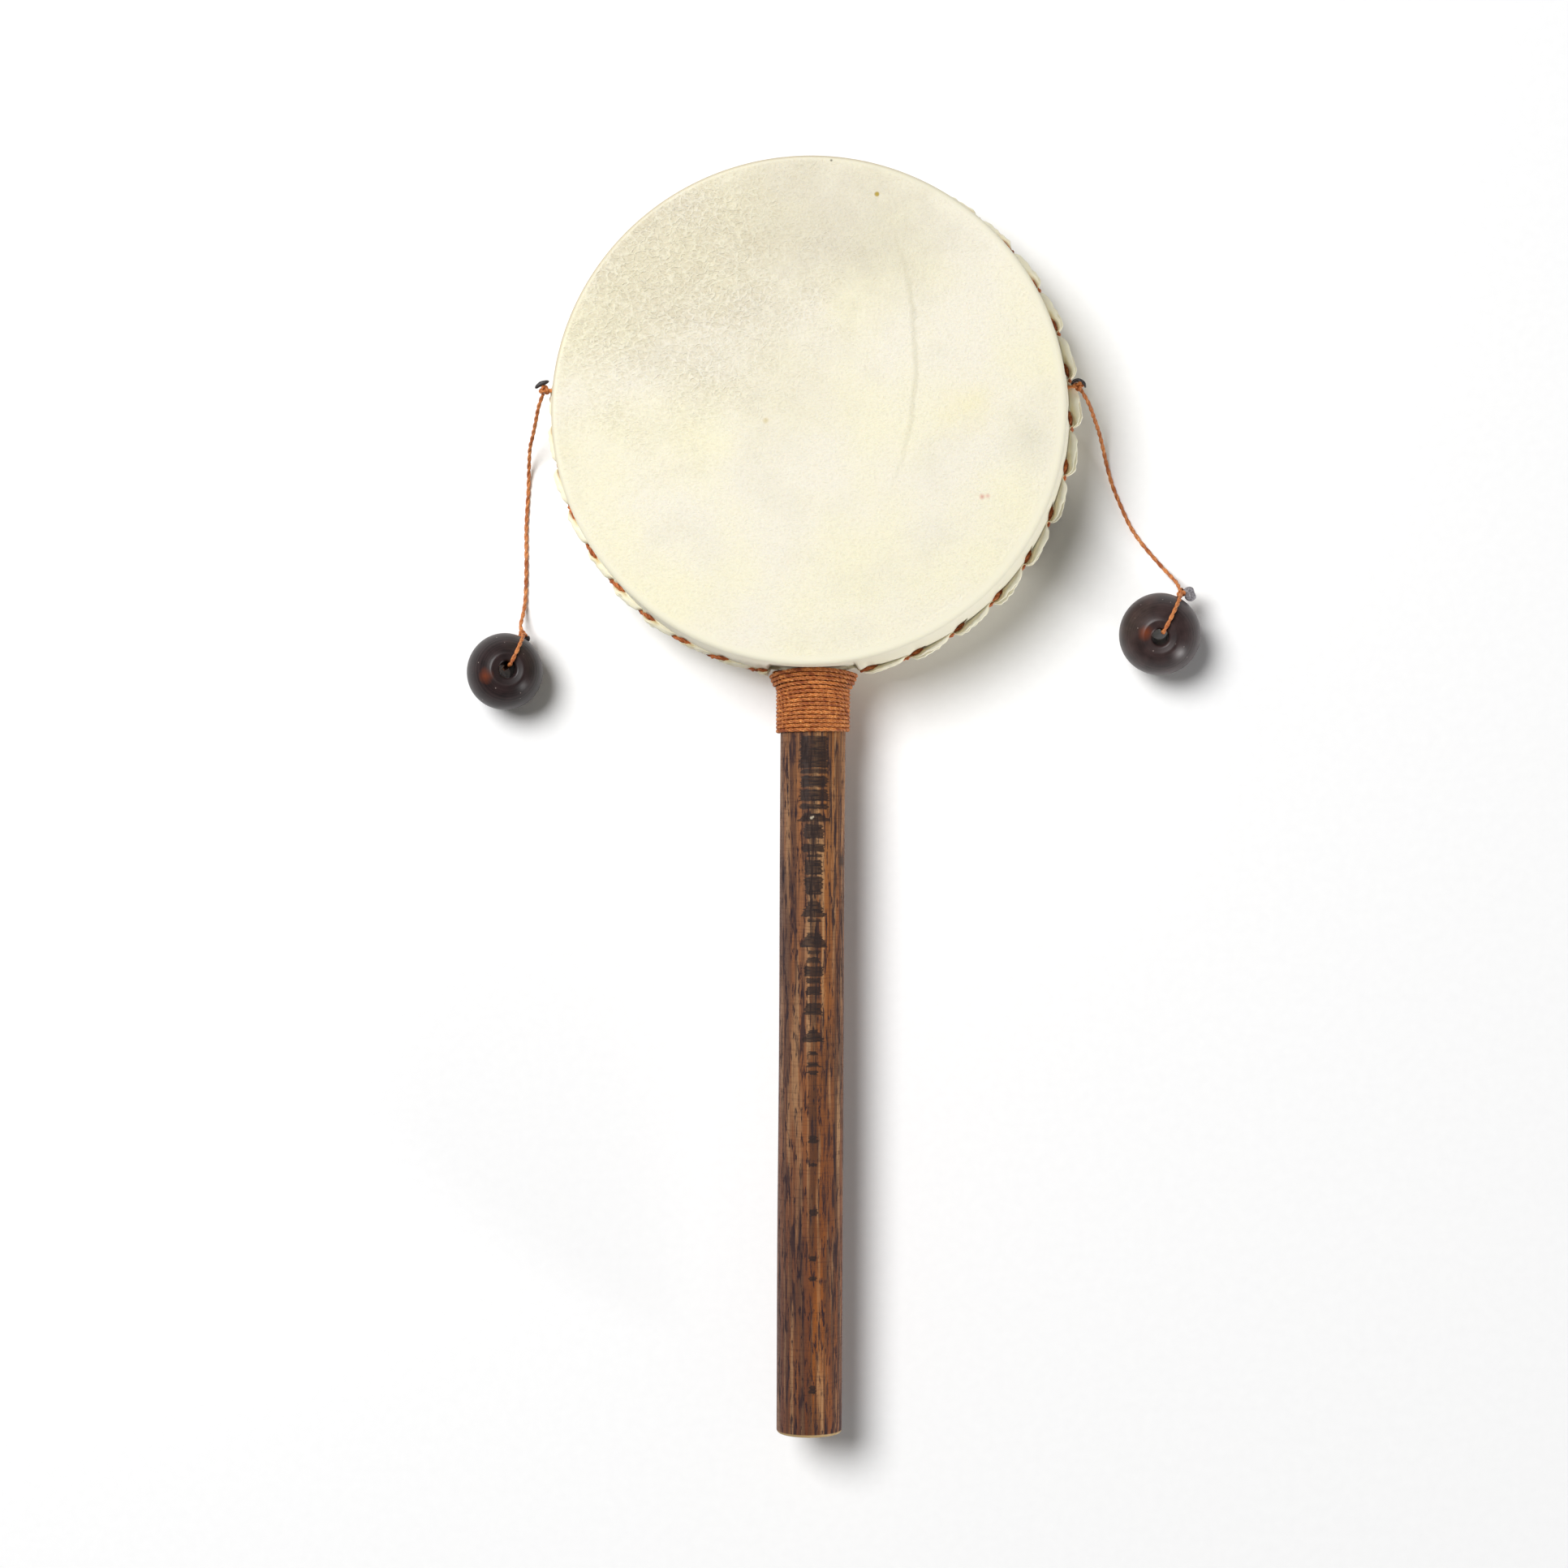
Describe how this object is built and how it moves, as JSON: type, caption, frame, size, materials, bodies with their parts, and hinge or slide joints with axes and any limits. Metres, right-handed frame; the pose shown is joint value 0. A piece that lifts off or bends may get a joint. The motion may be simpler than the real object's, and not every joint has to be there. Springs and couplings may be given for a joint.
{
  "type": "pellet drum",
  "caption": "Hand pellet drum with laced rawhide heads, a stained stick handle bound with cord, and dark wooden pellets on twisted cords, lying on its back head.",
  "frame": {"origin": "centre of the back head, on the surface that the drum lies on", "axes": "+Z from the back head to the front head, -Y along the handle, +X to the right of the front head with the handle down"},
  "size_m": [0.2188, 0.3786, 0.04],
  "materials": {
    "rawhide": "dry matt rawhide",
    "hoop_wood": "bare planed wood",
    "handle_wood": "stained satin wood",
    "pellet_wood": "dark stained, waxed",
    "lacing_cord": "waxed twisted cord",
    "whipping_cord": "waxed twisted cord",
    "pellet_cord": "waxed twisted cord with melted ends"
  },
  "bodies": {
    "root": {"front_skin": "rawhide", "back_skin": "rawhide", "hoop": "hoop_wood", "seam_lacing": "lacing_cord", "handle": "handle_wood", "neck_whipping": "whipping_cord", "left_rim_knot": "pellet_cord", "left_cord": "pellet_cord", "left_bead_knot": "pellet_cord", "left_bead_loop": "pellet_cord", "left_pellet": "pellet_wood", "right_rim_knot": "pellet_cord", "right_cord": "pellet_cord", "right_bead_knot": "pellet_cord", "right_bead_loop": "pellet_cord", "right_pellet": "pellet_wood"}
  },
  "joints": []
}
